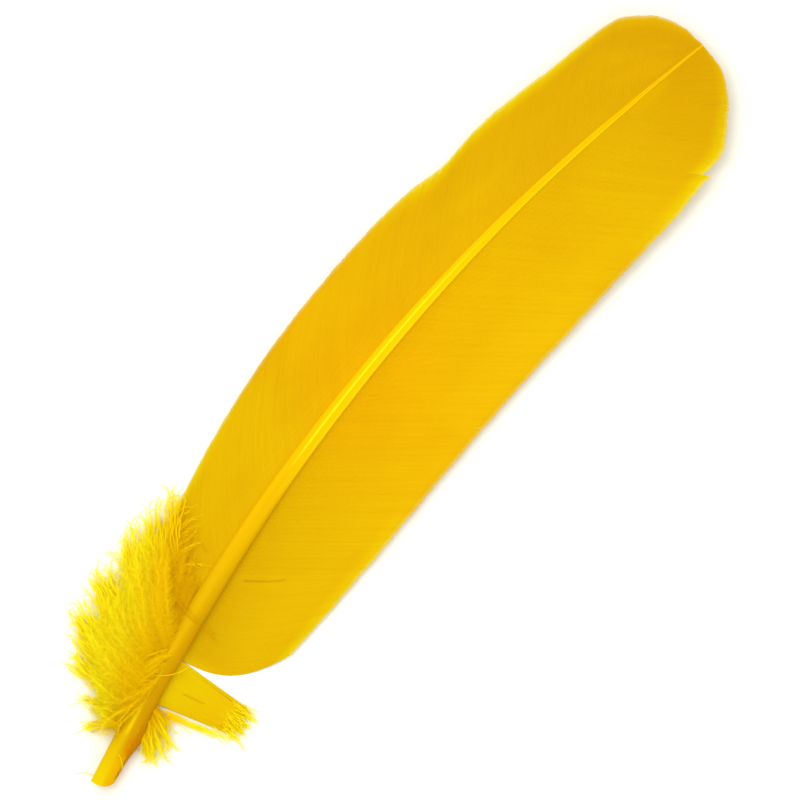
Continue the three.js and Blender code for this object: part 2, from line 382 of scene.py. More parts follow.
# %% One barb
BARB_CUTS = 14
RIDGE = 0.55
OVERLAP = 1.16
BARB_END = (0.7, 1, 0.6)
barb = primitive(bpy.ops.mesh.primitive_cube_add, "barb", size=1, location=(0, 0.5, 0.5))
edit(barb, faces=lambda face: face.normal.z > 0.9)
bpy.ops.transform.resize(value=(RIDGE, 1, 1), center_override=(0, 0.5, 1))
bpy.ops.object.mode_set(mode="OBJECT")
edit(barb, edges=lambda a, b: abs(a.y - b.y) > 0.5)
bpy.ops.mesh.subdivide(number_cuts=BARB_CUTS)
bpy.ops.mesh.select_all(action="SELECT")
bpy.ops.transform.resize(value=(OVERLAP, 1, 1), center_override=(0, 0.5, 0.5))
bpy.ops.object.mode_set(mode="OBJECT")
edit(barb, points=lambda co: co.y > 0.99)
bpy.ops.transform.resize(value=BARB_END, center_override=(0, 1, 0))
bpy.ops.object.mode_set(mode="OBJECT")
print("barb", len(barb.data.polygons), "faces")

# %% [markdown]
# The outlines below are the edges of the two vanes, as places along and across the shaft. They
# are the CAD solid's own, but for the last point of each, which makes a finer tip. What makes
# a vane look grown is that its barbs aren't alike: some stand a little apart, some end short,
# and here and there the comb has opened in a slit or lost a snip of its edge.

# %% Outlines, slants and slits
TRAILING = {
    "side": -1, "root": (45.4, 293.4), "sweep": 0.05, "bend": (3.4, 1.15),
    "leaves": 17, "radius": 75,
    "edge": [
        (64.5, 31.5), (80, 34), (111, 37.3), (155, 39.1), (203, 39.4), (234, 38), (256, 36.2),
        (270, 33.4), (279, 30.9), (284.5, 26.8), (290.8, 20.1), (294.6, 13.6), (296.3, 7.2),
        (296, 0.3),
    ],
    "barbs": 520,
    "slits": [
        (0.113, 0.14, 0.45, 0.07), (0.903, 0.7, 1.25, 0.09), (0.794, 0.9, 1.3, 0.2),
        (0.34, 0.85, 1.3, 0.1),
    ],
    "joins": (0.3, 0.6),
    "snip": {"at": 0.794, "above": (0.02, 0.045), "below": (0.006, -0.025)},
}
LEADING = {
    "side": 1, "root": (49, 292.6), "sweep": 0.04, "bend": (1.6, 1.5),
    "leaves": 12, "radius": 60,
    "edge": [
        (84, 22.6), (108, 25.2), (142, 27.4), (188, 27.2), (202, 26.2), (213.5, 24.3), (229, 25.3),
        (256, 23.5), (280.6, 22.1), (286, 18.8), (291.5, 13.9), (294.3, 7.6), (295.8, 0.3),
    ],
    "barbs": 500,
    "slits": [(0.535, 0.7, 1.3, 0.06), (0.8, 0.5, 1.2, 0.04)],
    "joins": (0.5, 0.62),
    "snip": {"at": 0.62, "above": (0.01, 0), "below": (0.01, 0.01)},
}
REACHES_TABLE = 9
JOIN_CHANGES = (70, 130)
JOIN_SINKS, SINK = (250, 285), 0.25
BASE_BEND_SHARE = 0.12
PAST_MIDDLE = 0.4
SLIT_FADES = 0.012
BARB_HEIGHT = (0.11, 0.07)
WEB_OFF_TABLE = 0.1


def web_height(vane, along, out):
    """How high the web lies: down from the shaft to the table, then up to its curled edge."""
    fall = np.clip(np.abs(out) / REACHES_TABLE, 0, 1)
    rise = np.maximum(out - vane["leaves"], 0)
    joins_at = mix(*vane["joins"], smooth(*JOIN_CHANGES, along))
    joins_at = joins_at - SINK * smooth(*JOIN_SINKS, along)
    return shaft_depth(along) * joins_at * (1 - fall) ** 2 + rise**2 / (2 * vane["radius"])


def lay_vane(name, vane, seed):
    """Bends a comb of barbs into a vane.

    A slit is a place in the row, where along the barbs it starts and ends, and how many
    millimetres the barbs on each side of it give way. A snip is a place in the row and, for
    each side of it, how wide it is and what share of their reach the barbs there lose. A
    share below 0 makes them longer.
    """
    comb = repeat(copy_of(barb, name), vane["barbs"], (1, 0, 0))
    aside, share, thick = corners(comb).T
    number = which_copy(comb, barb)
    row = (aside + 0.5) / vane["barbs"]
    dice = np.random.default_rng(seed)
    each = lambda spread: dice.normal(0, spread, vane["barbs"])[number]
    curve = curve_through(vane["edge"])
    tip_along, tip_out = on_curve(curve, row + vane["sweep"] * np.sin(math.pi * row))
    root = mix(*vane["root"], row)
    bend = mix(*vane["bend"], np.clip(row / BASE_BEND_SHARE, 0, 1))
    reach = share * (1 + each(0.002) + 0.004 * drift(row, seed, 90))
    barb_row = (number + 0.5) / vane["barbs"]
    snip = vane["snip"]
    beyond = barb_row - snip["at"]
    for (wide, depth), here in ((snip["above"], beyond > 0), (snip["below"], beyond < 0)):
        reach = reach * (1 - depth * here * np.exp(-np.abs(beyond) / wide))
    along = mix(root, tip_along, reach**bend) + 0.35 * share * drift(row, seed + 1, 60)
    out = mix(-PAST_MIDDLE, tip_out, reach)
    opened = 0
    for at, start, end, gap in vane["slits"]:
        beside = barb_row - at
        widest = mix(start, end, 0.5)
        here = smooth(start, widest, share) * (1 - smooth(widest, end, share))
        opened = opened + np.sign(beside) * gap * here * np.exp(-np.abs(beside) / SLIT_FADES)
    along = along + opened
    tall = mix(*BARB_HEIGHT, share)
    shingle = 0.05 * (aside - number)
    loose = 0.045 * share * (each(0.35) + drift(row, seed + 2, 140))
    up = WEB_OFF_TABLE + web_height(vane, along, out) + thick * tall
    up = up + np.maximum(shingle + loose, -0.09)
    note(comb, "along", along / SHAFT_LENGTH)
    note(comb, "outward", share)
    note(comb, "strand", dice.uniform(0, 1, vane["barbs"])[number])
    note(comb, "streak", row * vane["barbs"])
    note(comb, "narrow", np.full(len(row), float(vane["side"] > 0)))
    move_corners(comb, place(along, vane["side"] * out, up))
    finish_piece(comb, "vane")
    return comb


wide_vane = lay_vane("wide_vane", TRAILING, 11)
narrow_vane = lay_vane("narrow_vane", LEADING, 12)

# %% [markdown]
# ## The loose lobe
# At the bottom of the wide vane a group of barbs has come away from the rest. It stands out
# almost square to the shaft and its end is frayed. It is the same comb, bent another way.

# %% A shorter comb
LOBE = {"root": (29.5, 45.5), "tips": (33, 42.6), "reach": 29.5, "barbs": 52}
lobe = repeat(copy_of(barb, "loose_lobe"), LOBE["barbs"], (1, 0, 0))
aside, share, thick = corners(lobe).T
number = which_copy(lobe, barb)
row = (aside + 0.5) / LOBE["barbs"]
dice = np.random.default_rng(5)
reach = LOBE["reach"] - 3 * np.abs(row - 0.5) + dice.uniform(-3.5, 2.6, LOBE["barbs"])[number]
along = mix(mix(*LOBE["root"], row), mix(*LOBE["tips"], row), share)
along = along + share**8 * dice.normal(0, 0.4, LOBE["barbs"])[number] + (aside - number) * 0.3
out = share * reach
up = 0.15 + web_height(TRAILING, along, out) + 0.3 * thick + 0.12 * (aside - number)
up = up + 0.1 * share**2 * drift(row, 6, 14)
note(lobe, "along", np.full(len(along), 0.1))
note(lobe, "outward", share)
note(lobe, "strand", dice.uniform(0, 1, LOBE["barbs"])[number])
note(lobe, "streak", row * 6)
move_corners(lobe, place(along, -out, up))
finish_piece(lobe, "vane")

# %% [markdown]
# ## The down
# Down has barbs too, but their barbules are long and don't hook together, so each barb is a
# tiny soft plume. One plume is modelled straight: a thin three-sided stem with a comb of fine
# hairs on both sides. An array repeats it, and each copy is bent along its own arched path from
# the shaft to the outline of the down. Hair curves or particles would be quicker to make, but
# only a mesh shows the same from every side and in every program.

# %% One plume, and a wisp with hardly any hair
PLUME = 30
STEM_THICK, STEM_THIN, STEM_CUTS = 0.12, 0.07, 19
HAIR_THICK, HAIR_FROM = 0.09, 0.5
HAIR_REACH, HAIR_SLANT = 2.4, 1.7
HAIR_STEP, WISP_STEP = 0.42, 1.6


def make_plume(name, hair_step):
    """A straight plume: a tapering stem with a comb of hairs on both sides, pressed flat."""
    parts = [primitive(
        bpy.ops.mesh.primitive_cone_add, name,
        vertices=3, radius1=STEM_THICK, radius2=STEM_THIN, depth=PLUME,
        location=(0, PLUME / 2, 0), rotation=(-math.pi / 2, 0, 0),
    )]
    edit(parts[0], edges=lambda a, b: abs(a.y - b.y) > 5)
    bpy.ops.mesh.subdivide(number_cuts=STEM_CUTS)
    bpy.ops.object.mode_set(mode="OBJECT")
    for side in (-1, 1):
        lean = math.atan2(HAIR_SLANT, side * HAIR_REACH)
        hair = primitive(
            bpy.ops.mesh.primitive_cone_add, "hair",
            vertices=3, radius1=HAIR_THICK, radius2=0.0, depth=math.hypot(HAIR_REACH, HAIR_SLANT),
            location=(side * HAIR_REACH / 2, HAIR_FROM + HAIR_SLANT / 2, 0),
            rotation=(math.pi / 2, 0, lean + math.pi / 2),
        )
        hairs = int((PLUME - HAIR_SLANT - HAIR_FROM) / hair_step)
        parts.append(repeat(hair, hairs, (0, hair_step, 0)))
    made = joined(parts)
    edit(made, faces=lambda face: True)
    bpy.ops.transform.resize(value=(1, 1, 0.5), center_override=(0, 0, 0))
    bpy.ops.object.mode_set(mode="OBJECT")
    print(name, len(made.data.polygons), "faces", corners(made).min(0), corners(made).max(0))
    return made


plume = make_plume("plume", HAIR_STEP)
wisp = make_plume("wisp", WISP_STEP)


# %% Many plumes, each on its own path
PATH_STEPS = 36
ROW_STEP = 10
STEM_ENDS = 0.16
LOWEST_HAIR = 0.1
RIM_ALONG, RIM_OUT = (12, 24, 32, 46), (11, 15, 26, 32)


def run_on(start, rate):
    """Adds up a rate along each path, from the path's start."""
    halfway = (rate[:, 1:] + rate[:, :-1]) / 2
    return start + np.cumsum(np.hstack([0 * start, halfway]), 1) / PATH_STEPS


def scatter(number, salt):
    """A number from 0 to 1 that looks random, the same for all corners of one hair."""
    return np.modf(np.abs(np.sin(number * 12.9898 + salt) * 43758.5453))[0]


def lay_plumes(
    name, model, roots, tips, crests,
    hair=1.0, seed=1, wave=1.0, curl=1.0, bow=1.0, stray=1.0, wide=1.0, tint=0.0,
):
    """Bends copies of a plume along arched, wavy paths that curl at the tip.

    Roots and tips are along, across and up. Crests say how high the paths arch.
    """
    count = len(roots)
    flock = repeat(copy_of(model, name), count, (ROW_STEP, 0, 0))
    points = corners(flock)
    number = which_copy(flock, model)
    dice = np.random.default_rng(seed)
    each = lambda low, high: dice.uniform(low, high, (count, 1))
    r, t = np.asarray(roots, float), np.asarray(tips, float)
    s = np.linspace(0, 1, PATH_STEPS + 1)[None, :]
    middle = [
        mix(r[:, :1], t[:, :1], 0.5 - 0.16 * bow) + stray * each(-2, 2),
        mix(r[:, 1:2], t[:, 1:2], 0.5 + 0.1 * bow) + stray * each(-1.2, 1.2),
    ]
    pace = [
        2 * (1 - s) * (bend - r[:, i : i + 1]) + 2 * s * (t[:, i : i + 1] - bend)
        for i, bend in enumerate(middle)
    ]
    tail = np.clip((s - each(0.55, 0.8)) / 0.35, 0, 1)
    turn = wave * 0.2 * s**0.7 * np.sin(each(5, 13) * s + each(0, 6.3))
    turn = turn + curl * each(-2.3, 2.3) * tail**1.5
    way, speed = np.arctan2(pace[1], pace[0]) + turn, np.hypot(*pace)
    line_along = run_on(r[:, :1], speed * np.cos(way))
    line_across = run_on(r[:, 1:2], speed * np.sin(way))
    crests = np.asarray(crests, float)[:, None]
    line_up = (1 - s) ** 2 * r[:, 2:] + 4 * s * (1 - s) * crests + s**2 * t[:, 2:]
    line_up = line_up + wave * 0.4 * s**1.5 * np.sin(each(3, 7) * s + each(0, 6.3)) * each(0.2, 1)

    aside, run, thick = points[:, 0] - ROW_STEP * number, points[:, 1], points[:, 2]
    share = np.clip(run / PLUME, 0, 1)
    before = np.minimum((share * PATH_STEPS).astype(int), PATH_STEPS - 1)
    part = share * PATH_STEPS - before
    read = lambda line: mix(line[number, before], line[number, before + 1], part)
    root_run = run - HAIR_SLANT * np.abs(aside) / HAIR_REACH
    tooth = np.round(root_run / HAIR_STEP) + 97 * number + 13 * np.sign(aside)
    is_hair = np.abs(aside) > STEM_ENDS
    long = hair * mix(0.4, 1.3, scatter(tooth, 1.0)) * (1 - 0.75 * share**3)
    long = np.where(is_hair, long, wide)
    tilt = np.where(is_hair, mix(-0.25, 0.35, scatter(tooth, 2.0)) * np.abs(aside) * hair, 0)
    lean = np.where(is_hair, mix(-1.8, 1.4, scatter(tooth, 3.0)) * hair, 0)
    aside = aside * long
    ahead_along, ahead_across = np.cos(read(way)), np.sin(read(way))
    along = read(line_along) + lean * ahead_along - aside * ahead_across
    across = read(line_across) + lean * ahead_across + aside * ahead_along
    up = np.maximum(read(line_up) + thick * wide + tilt, LOWEST_HAIR + thick)
    note(flock, "along", along / SHAFT_LENGTH)
    inward = 0.6 * np.clip((along - 52) / 25, 0, 1) * np.clip((26 - np.abs(across)) / 10, 0, 1)
    rim = np.interp(along, RIM_ALONG, RIM_OUT)
    note(flock, "outward", np.clip(0.4 * share + 0.6 * np.abs(across) / rim - inward, 0, 1))
    note(flock, "strand", (tint + 0.3 * dice.uniform(0, 1, count))[number])
    move_corners(flock, place(along, across, up))
    finish_piece(flock, "down")


# %% [markdown]
# The down on the narrow side is a fan. Its plumes leave the first fifth of the shaft, the lowest
# pointing back to the cut end and the highest lying on the vane. In the bottom layer the plumes
# meet in locks, as damp down does when it dries, and every lock has its own tip on the outline.
# The layers above are shorter and looser, and some plumes of the top one start on the shaft's
# upper side.

# %% The fan of down
LOCKS = [
    (13.5, 12.6), (19, 14.3), (20.8, 18.2), (28.6, 26), (31.5, 26), (35.8, 28.6), (39.3, 31),
    (42, 32.6), (45, 33.2), (52.6, 33), (56, 33.6), (58.9, 32.4), (66, 30.4), (70, 31.2),
    (74.3, 31.6), (80.2, 29.8), (83.8, 28), (87.8, 26.8), (88.2, 24),
]
FAN = curve_through([
    (12.5, 11.4), (15.5, 12.6), (20, 14), (21.5, 17.5), (24.6, 15.8), (27, 18), (29.5, 25.6),
    (35.7, 28.6), (41.7, 32), (46.6, 32.4), (48.6, 28.2), (53.4, 32), (57.9, 32), (60.9, 28),
    (60.4, 26), (65.7, 29), (74.3, 31), (76.4, 29), (80.1, 29), (83, 27.4), (87.8, 26.4),
])
FAN_ROOTS = (18.5, 50)
OVER_SHAFT = {"at": 32, "half": 9, "across": 0.8, "up": 6.1}


def lay_fan(name, count, locks, reach, crest, root_across, root_up, seed, on_top=0.0, **look):
    """Plumes from the shaft to the fan's outline.

    They gather loosely, or into the tips of LOCKS if locks is 0.
    """
    dice = np.random.default_rng(seed)
    own = np.linspace(0, 1, count) ** 0.7
    if locks:
        lock = np.sort(dice.integers(0, locks, count))
        lock_share = (np.arange(locks) + dice.uniform(0.15, 0.85, locks)) / locks
        at = mix(own, lock_share[lock], 0.35) + dice.normal(0, 0.03, count)
        far_along, far_out = on_curve(FAN, at)
        length = reach * dice.uniform(0.93, 1.05, locks)[lock] * dice.uniform(0.84, 1.04, count)
    else:
        lock = (own * (len(LOCKS) - 0.001)).astype(int)
        own = mix(own, (lock + 0.5) / len(LOCKS), 0.3)
        far_along, far_out = np.array(LOCKS)[lock].T + dice.normal(0, 0.7, (2, count))
        length = reach * dice.uniform(0.68, 1.03, count)
    root = mix(*FAN_ROOTS, np.clip(own, 0, 1)) + dice.normal(0, 1.2, count)
    over = on_top * np.exp(-(((root - OVER_SHAFT["at"]) / OVER_SHAFT["half"]) ** 2))
    across = mix(root_across, OVER_SHAFT["across"], over) + dice.uniform(-0.4, 0.4, count)
    roots = np.stack([root, across, mix(root_up, OVER_SHAFT["up"], over)], -1)
    high = 0.5 + crest * dice.uniform(0.15, 0.9, count)
    tips = np.stack([mix(root, far_along, length), mix(across, far_out, length), high], -1)
    crests = crest * dice.uniform(0.75, 1.1, count) + over
    lay_plumes(name, plume, roots, tips, crests, seed=seed + 100, **look)


lay_fan(
    "down_lower", count=270, locks=0, reach=0.97, crest=1.6, root_across=2.0, root_up=2.6,
    seed=21, hair=1.3, wave=0.9, curl=0.7, wide=0.9,
)
lay_fan(
    "down_middle", count=160, locks=20, reach=0.86, crest=3.0, root_across=2.2, root_up=3.6,
    seed=22, hair=1.3, wave=0.8, curl=0.5, wide=0.7,
)
lay_fan(
    "down_upper", count=150, locks=16, reach=0.66, crest=4.4, root_across=2.4, root_up=4.2,
    seed=23, on_top=1.0, hair=1.35, wave=0.8, curl=0.4, wide=0.6,
)

# %% Curled tips around the locks
ROOT_OUT = 2
dice = np.random.default_rng(71)
count = 210
lock = dice.integers(0, len(LOCKS), count)
far_along, far_out = np.array(LOCKS)[lock].T + dice.normal(0, 1.1, (2, count))
root = mix(*FAN_ROOTS, (lock + 0.5) / len(LOCKS))
start, end = dice.uniform(0.6, 0.85, count), dice.uniform(0.9, 1.07, count)
up = dice.uniform(0.6, 3, count)
roots = np.stack([mix(root, far_along, start), mix(ROOT_OUT, far_out, start), up], -1)
up = dice.uniform(0.4, 3, count)
tips = np.stack([mix(root, far_along, end), mix(ROOT_OUT, far_out, end), up], -1)
lay_plumes(
    "down_curls", wisp, roots, tips, dice.uniform(1, 2.4, count),
    hair=0.3, seed=72, wave=1.9, curl=1.4, stray=0.5, wide=1.2,
)

# %% Plumes that lie on the narrow vane
dice = np.random.default_rng(51)
count = 130
far, back = dice.uniform(0, 1, count), dice.uniform(0, 1, count)
roots = np.stack([
    mix(54, 40, far), dice.uniform(1.8, 3.4, count), dice.uniform(2.8, 3.8, count),
], -1)
tips = np.stack([
    mix(68, 87, far) - 12 * back * mix(0.5, 1, far) + dice.normal(0, 1, count),
    mix(5, 21, far) + mix(0, 3, back) + dice.normal(0, 1.2, count),
    dice.uniform(0.6, 1.4, count),
], -1)
lay_plumes(
    "down_on_vane", plume, roots, tips, dice.uniform(1.4, 2.4, count),
    hair=1.25, seed=52, wave=0.6, curl=0.3, wide=0.5, tint=0.7,
)

# %% Plumes that lie over the shaft's near side
dice = np.random.default_rng(81)
count = 46
root = dice.uniform(28, 47, count)
roots = np.stack([root, dice.uniform(-0.2, 2.2, count), dice.uniform(5.7, 6.1, count)], -1)
end = root - dice.uniform(8, 15, count)
tips = np.stack([end, dice.uniform(3.2, 9, count), dice.uniform(3.4, 5, count)], -1)
lay_plumes(
    "down_over_shaft", plume, roots, tips, dice.uniform(4.6, 5.6, count),
    hair=0.5, seed=82, wave=0.6, curl=0.4, wide=0.6,
)

# %% The tuft on the wide side
TUFT_LOCKS = [(10.9, 10.4), (12.4, 11.6), (13.4, 14.6), (18.6, 15.4), (23.6, 13.4)]
dice = np.random.default_rng(31)
count = 70
lock = np.sort(dice.integers(0, len(TUFT_LOCKS), count))
far_along, far_out = np.array(TUFT_LOCKS)[lock].T + dice.normal(0, 0.5, (2, count))
root = 23 + 1.5 * lock + dice.normal(0, 0.8, count)
length = dice.uniform(0.6, 1.04, count)
roots = np.stack([root, np.full(count, -1.7), np.full(count, 2.0)], -1)
tips = np.stack([
    mix(root, far_along, length), -mix(ROOT_OUT, far_out, length), dice.uniform(0.4, 2.6, count),
], -1)
lay_plumes(
    "tuft", plume, roots, tips, dice.uniform(1.2, 2.6, count),
    hair=0.6, seed=31, wave=1.3, curl=1.2, stray=0.5,
)

# %% The frayed end of the lobe
dice = np.random.default_rng(41)
count = 60
share = np.linspace(0, 1, count)
end = mix(32.6, 42.4, share)
roots = np.stack([end + 0.4, -dice.uniform(23, 28, count), dice.uniform(0.35, 0.8, count)], -1)
tips = np.stack([
    end + mix(-1.6, 0.4, share) + dice.normal(0, 1, count),
    -dice.uniform(27.5, 34.5, count),
    dice.uniform(0.6, 2.2, count),
], -1)
lay_plumes(
    "lobe_fray", wisp, roots, tips, dice.uniform(0.5, 1.1, count),
    hair=0.4, seed=41, curl=0.7, stray=0.3, wide=1.2,
)

# %% [markdown]
# Some barbs have come loose. Most lie beside the lobe, a few hang out of the down or lie on
# the shaft, and one curls at the cut end. Others are duller: three real darker barbs lie together
# across the shaft, and the rest are short dark lines painted as shade in the slits and gaps of the
# vanes, the down and the lobe.

# %% Loose barbs
BRIGHT = [
    ((28.4, -8, 1.4), (31.4, -29.5, 1), 1.2), ((28.8, -7, 1.2), (30.2, -24, 0.8), 1),
    ((28, -6, 1.4), (27.5, -18, 1), 1.6), ((32.5, -22, 0.8), (29.6, -28, 1), 1),
    ((33.5, -29, 1), (31.2, -33, 1), 1), ((1.6, 2.8, 3), (-0.9, 8.8, 1.8), 1.6),
    ((37, 2.4, 6), (44.5, -7.2, 0.8), 3.2), ((11, -0.6, 5.4), (7.6, -3.6, 4.4), 3),
    ((19, 5, 4), (9.6, 14.6, 0.8), 1.6), ((28.6, -9, 1.2), (29.2, -26, 0.8), 1.1),
    ((22, 5, 4), (17.5, 20.5, 1), 1.6), ((18, 4.5, 3), (11.5, 9.5, 1), 1),
    ((19, 4.5, 3), (12.5, 7.5, 1), 1),
]
# The first three are real darker barbs; the rest are dark barbs painted as shade in slits and
# gaps.
DULL_AND_SHADE_BARBS = [
    ((59.5, 7, 2.6), (56.6, -9, 0.8), 5.5), ((61, 6.4, 2.6), (57.5, -8, 0.8), 5.6),
    ((60.2, 8, 3), (56, -10.5, 0.8), 5.6), ((36.6, -9, 0.6), (37.2, -16.4, 0.5), 0.55),
    ((70.6, 18.5, 0.8), (80.3, 20, 0.8), 0.6), ((77.8, 7.4, 1.2), (80.1, 11.8, 0.9), 1),
    ((72.7, 7.5, 3), (75.2, 11.6, 2.6), 2.9), ((72.5, 13.5, 0.8), (76.5, 13.3, 0.8), 0.6),
    ((82, 21.5, 0.8), (86.7, 18.4, 0.8), 0.6), ((76.5, -7.1, 0.5), (83.7, -18, 0.36), 0.4),
]
FRINGE_BARBS = 16
dice = np.random.default_rng(91)
for _ in range(FRINGE_BARBS):
    far = dice.uniform(0, 1)
    root = (dice.uniform(27.6, 29.6), -dice.uniform(5, 9), 1.2)
    tip = (mix(29, 32.4, far) + dice.uniform(-0.4, 0.6), -mix(15, 31, far), 0.8)
    BRIGHT.append((root, tip, 1.1))
for name, paths, wide, loose, tint in (
    ("bright_barbs", BRIGHT, 1.2, 1.0, 0.0), ("dull_and_shade_barbs", DULL_AND_SHADE_BARBS, 0.9, 0.2, 1.2),
):
    roots, tips, crests = (np.array(part, float) for part in zip(*paths))
    lay_plumes(
        name, wisp, roots, tips, crests,
        hair=0.2 * loose, seed=61, wave=0.9 * loose, curl=0.5 * loose, bow=loose,
        stray=0.3 * loose, wide=wide, tint=tint,
    )

# %% [markdown]
# ## Finishes
# The feather's finishes are worked out from numbers that its pieces carry: how far along the
# quill a corner is, how far out from the shaft or round it, and which barb it belongs to. A
# small class lets the node sums be written like any other sum.

# %% Node sums as plain sums
class Wire:
    """A node's output that can be used in a sum as a number can."""

    def __init__(self, paint, socket):
        self.paint, self.socket = paint, socket

    def __add__(self, other):
        return self.paint.sum("ADD", self, other)

    def __sub__(self, other):
        return self.paint.sum("SUBTRACT", self, other)

    def __rsub__(self, other):
        return self.paint.sum("SUBTRACT", other, self)

    def __mul__(self, other):
        return self.paint.sum("MULTIPLY", self, other)

    def __pow__(self, other):
        return self.paint.sum("POWER", self, other)

    __radd__ = __add__


class Paint:
    """A material and the nodes that make it."""

    def __init__(self, name):
        self.material = bpy.data.materials.new(name)
        self.material.use_nodes = True
        self.tree = self.material.node_tree
        self.shader = self.tree.nodes["Principled BSDF"]

    def feed(self, socket, value):
        """Links a wire to a socket, or sets a plain value on it."""
        if isinstance(value, Wire):
            self.tree.links.new(value.socket, socket)
        else:
            socket.default_value = value

    def node(self, kind, settings=(), output=0, **sockets):
        """Adds any node: its settings first, then its sockets' values or links."""
        made = self.tree.nodes.new(kind)
        for key, value in dict(settings).items():
            if key == "stops":
                for place_on_ramp, colour in value[2:]:
                    made.color_ramp.elements.new(place_on_ramp)
                for element, (place_on_ramp, colour) in zip(made.color_ramp.elements, value):
                    element.position, element.color = place_on_ramp, colour
            else:
                setattr(made, key, value)
        for key, value in sockets.items():
            self.feed(made.inputs[int(key[1:]) if key[1:].isdigit() else key], value)
        return Wire(self, made.outputs[output])

    def sum(self, operation, a, b):
        """Works out a sum of two numbers or wires."""
        return self.node("ShaderNodeMath", {"operation": operation}, _0=a, _1=b)

    def number(self, name):
        """The number that a piece's corners carry under a name."""
        return self.node("ShaderNodeAttribute", {"attribute_name": name}, output=2)

    def ramp(self, value, low, high):
        """Goes smoothly from 0 to 1 as the value goes from low to high."""
        settings = {"interpolation_type": "SMOOTHSTEP"}
        return self.node("ShaderNodeMapRange", settings, _0=value, _1=low, _2=high)

    def blend(self, share, a, b):
        """Mixes two colours."""
        settings = {"data_type": "RGBA", "clamp_factor": True}
        return self.node("ShaderNodeMix", settings, output=2, _0=share, _6=a, _7=b)

    def noise(self, vector, scale, detail):
        """A smooth random pattern between 0 and 1."""
        return self.node("ShaderNodeTexNoise", _0=vector, _2=scale, _3=detail)

    def vector(self, x, y, z=0.0):
        """Puts three numbers together, as a place for a noise."""
        return self.node("ShaderNodeCombineXYZ", _0=x, _1=y, _2=z)

    def bump(self, height, strength, distance):
        """Roughens the surface by a height."""
        wire = self.node("ShaderNodeBump", Strength=strength, Distance=distance, Height=height)
        self.feed(self.shader.inputs["Normal"], wire)


def dye(red, green, blue):
    """A colour as an artist picks it, 0 to 255, as the linear colour that a shader takes."""
    linear = lambda c: c / 12.92 if c <= 0.04045 else ((c + 0.055) / 1.055) ** 2.4
    return (*(linear(c / 255) for c in (red, green, blue)), 1.0)


def wear(pieces_to_paint, paint):
    """Gives pieces a material."""
    for piece in pieces_to_paint:
        piece.data.materials.clear()
        piece.data.materials.append(paint.material)


# %% [markdown]
# ### Vane
# The dye has taken almost evenly, with a few deeper and paler patches. The colour grows darker
# and more orange towards the tip. A paler lemon rim is painted along the outline at both ends.
# It is painted light, for the light that shines through the thin web there. Fine streaks
# follow the barbs.

# %% Vane finish
vane_paint = Paint("dyed_vane_with_painted_rim_light")
v = vane_paint
along, outward, strand, streak = (v.number(n) for n in ("along", "outward", "strand", "streak"))
colour = v.node("ShaderNodeValToRGB", {"stops": [
    (0.1, dye(218, 189, 2)), (0.15, dye(216, 180, 0)), (0.17, dye(202, 164, 0)),
    (0.33, dye(209, 168, 0)), (0.5, dye(221, 169, 0)), (0.7, dye(218, 174, 0)),
    (0.86, dye(212, 169, 0)), (0.97, dye(203, 155, 0)),
]}, Fac=along)
narrow = v.number("narrow")
pale_middle = v.ramp(outward, 0.2, 0.75) * (1 - v.ramp(along, 0.75, 0.95))
colour = v.blend(pale_middle * 0.4, colour, dye(220, 178, 0))
colour = v.blend(narrow * (1 - v.ramp(along, 0.38, 0.5)) * 0.8, colour, dye(216, 176, 0))
colour = v.blend(narrow * v.ramp(along, 0.45, 0.8) * 0.3, colour, dye(196, 142, 0))
# Painted light: a paler lemon rim along the outline, for light shining through the thin web.
lit_rim_along = v.ramp(along + narrow * 0.2, 0.78, 0.9) + (1 - v.ramp(along, 0.3, 0.45))
lit_rim_along = lit_rim_along * (1 - v.ramp(along + narrow * 0.05, 0.93, 1.0) * 0.6)
rim = v.ramp(outward, 0.82, 1.0) ** 2 * lit_rim_along
colour = v.blend(rim * 0.85 + v.ramp(outward, 0.96, 1.0) * 0.15, colour, dye(226, 204, 0))
patches = v.noise(v.vector(along * 7, outward * 1.5, narrow * 5), 1.0, 2.0)
colour = v.blend(v.ramp(patches, 0.45, 0.7) * 0.25, colour, dye(208, 153, 0))
colour = v.blend(v.ramp(patches, 0.45, 0.25) * 0.25, colour, dye(230, 186, 0))
grain = v.noise(v.vector(streak * 0.35, outward * 1.5, along * 3), 1.0, 4.0)
colour = v.blend((grain - 0.5) * 0.6 + (strand - 0.5) * 0.1 + 0.06, colour, dye(204, 152, 0))
v.feed(v.shader.inputs["Base Color"], colour)
v.feed(v.shader.inputs["Roughness"], 0.55 + strand * 0.15)
v.shader.inputs["Specular IOR Level"].default_value = 0.03
wear([wide_vane, narrow_vane, lobe], vane_paint)

# %% [markdown]
# ### Shaft and down
# The horn is a deep yellow near its base, with brown stains beside the cut end. Further on it
# is clearer, and fine fibres run along it. Further on its flanks are painted lighter, near the
# base its far half is painted in shade, and a painted highlight runs along its crest as a light
# streak. A noise in the object's own space makes the stains ragged. The down is lemon at its
# tips and deeper near the shaft. The dull barbs are darker than the rest: three are real darker
# barbs, and the others are dark lines painted as shade in slits and gaps.

# %% Shaft finish
shaft_paint = Paint("dyed_horn_with_painted_light")
h = shaft_paint
along, side = h.number("along"), h.number("side")
colour = h.node("ShaderNodeValToRGB", {"stops": [
    (0.0, dye(220, 192, 0)), (0.05, dye(209, 172, 0)), (0.14, dye(213, 168, 0)),
    (0.2, dye(214, 168, 0)), (0.34, dye(221, 174, 0)), (0.4, dye(226, 182, 0)),
    (0.45, dye(230, 186, 0)), (0.58, dye(232, 191, 0)), (0.72, dye(234, 188, 0)),
    (0.85, dye(230, 181, 0)), (1.0, dye(222, 170, 0)),
]}, Fac=along)
